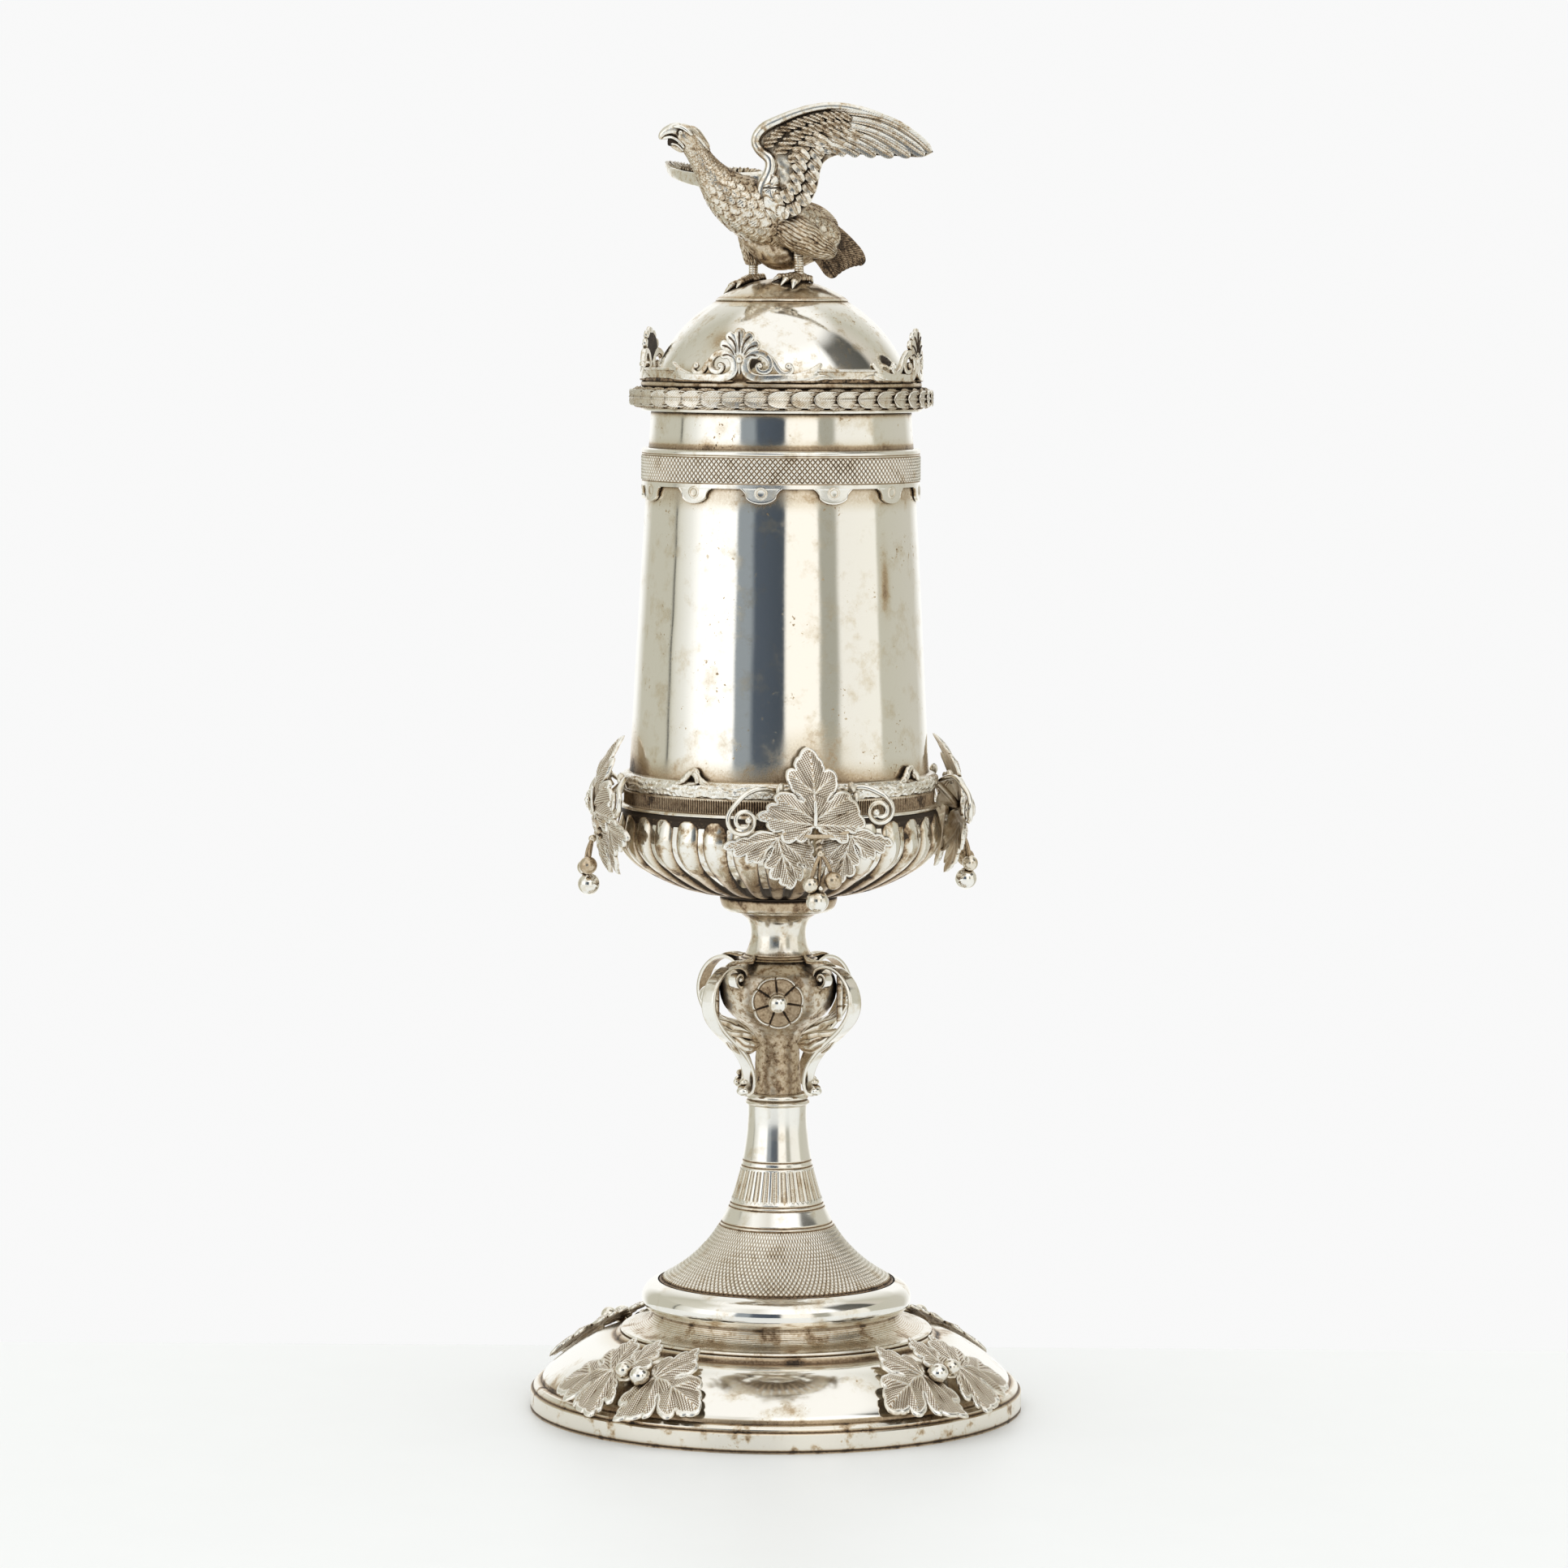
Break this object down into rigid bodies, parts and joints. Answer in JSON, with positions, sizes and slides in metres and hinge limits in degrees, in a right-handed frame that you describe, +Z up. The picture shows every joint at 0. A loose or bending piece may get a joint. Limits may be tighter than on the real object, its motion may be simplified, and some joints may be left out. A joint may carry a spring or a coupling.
{
  "type": "covered presentation cup",
  "caption": "Tall silver covered cup on a domed foot: lift-off lid with an eagle finial and palmette crown, vine-leaf mounts, scroll-bracket knop and engine-turned stem.",
  "frame": {"origin": "centre of the foot's resting ring, on the surface that the cup stands on", "axes": "+Z up along the cup's axis of revolution; -Y is the front that the eagle's raised wing stands nearest; +X is the right as seen from the front"},
  "size_m": [0.153, 0.153, 0.4024],
  "materials": {
    "polished_silver": "polished silver with light tarnish spots",
    "tarnished_silver": "cast and chased silver, tarnished in the hollows",
    "oxidised_silver": "oxidised matt silver",
    "gilt_lining": "worn gilding",
    "steel_fasteners": "plain turned steel"
  },
  "bodies": {
    "cup": {"base_band": "polished_silver", "foot_dome": "polished_silver", "foot_torus": "polished_silver", "trumpet_stem": "polished_silver", "stem_ring": "polished_silver", "cup_wall": "polished_silver", "foot_scotia": "tarnished_silver", "knop_urn": "tarnished_silver", "stem_neck": "tarnished_silver", "stem_saucer": "tarnished_silver", "gadroon_bowl": "tarnished_silver", "reeded_band": "tarnished_silver", "vine_branch_ring": "tarnished_silver", "engine_turned_collar": "tarnished_silver", "vine_tendrils": "tarnished_silver", "rosette_studs": "polished_silver", "foot_berries": "polished_silver", "seat_plate": "oxidised_silver", "tie_rod": "steel_fasteners", "rod_cap_nut": "steel_fasteners", "tie_washer": "steel_fasteners", "tie_nut": "steel_fasteners", "rosette_front": "oxidised_silver", "scroll_bracket_front": "tarnished_silver", "vine_leaves_front": "tarnished_silver", "vine_berries_front": "polished_silver", "foot_leaves_front": "tarnished_silver", "rosette_right": "oxidised_silver", "scroll_bracket_right": "tarnished_silver", "vine_leaves_right": "tarnished_silver", "vine_berries_right": "polished_silver", "foot_leaves_right": "tarnished_silver", "rosette_back": "oxidised_silver", "scroll_bracket_back": "tarnished_silver", "vine_leaves_back": "tarnished_silver", "vine_berries_back": "polished_silver", "foot_leaves_back": "tarnished_silver", "rosette_left": "oxidised_silver", "scroll_bracket_left": "tarnished_silver", "vine_leaves_left": "tarnished_silver", "vine_berries_left": "polished_silver", "foot_leaves_left": "tarnished_silver"},
    "lid": {"lid_dome": "polished_silver", "cap_plate": "polished_silver", "lid_flange": "polished_silver", "lid_bezel": "gilt_lining", "lid_wreath": "tarnished_silver", "rim_wire": "polished_silver", "crown_gallery": "tarnished_silver", "eagle_body": "tarnished_silver", "eagle_left_wing": "tarnished_silver", "eagle_right_wing": "tarnished_silver", "finial_pins": "steel_fasteners", "finial_nuts": "steel_fasteners", "palmette_front": "tarnished_silver", "palmette_right": "tarnished_silver", "palmette_back": "tarnished_silver", "palmette_left": "tarnished_silver"}
  },
  "joints": [
    {"name": "lid_lift", "type": "slide", "parent": "cup", "child": "lid", "axis": [0, 0, 1], "range_m": [0, 0.12]}
  ]
}
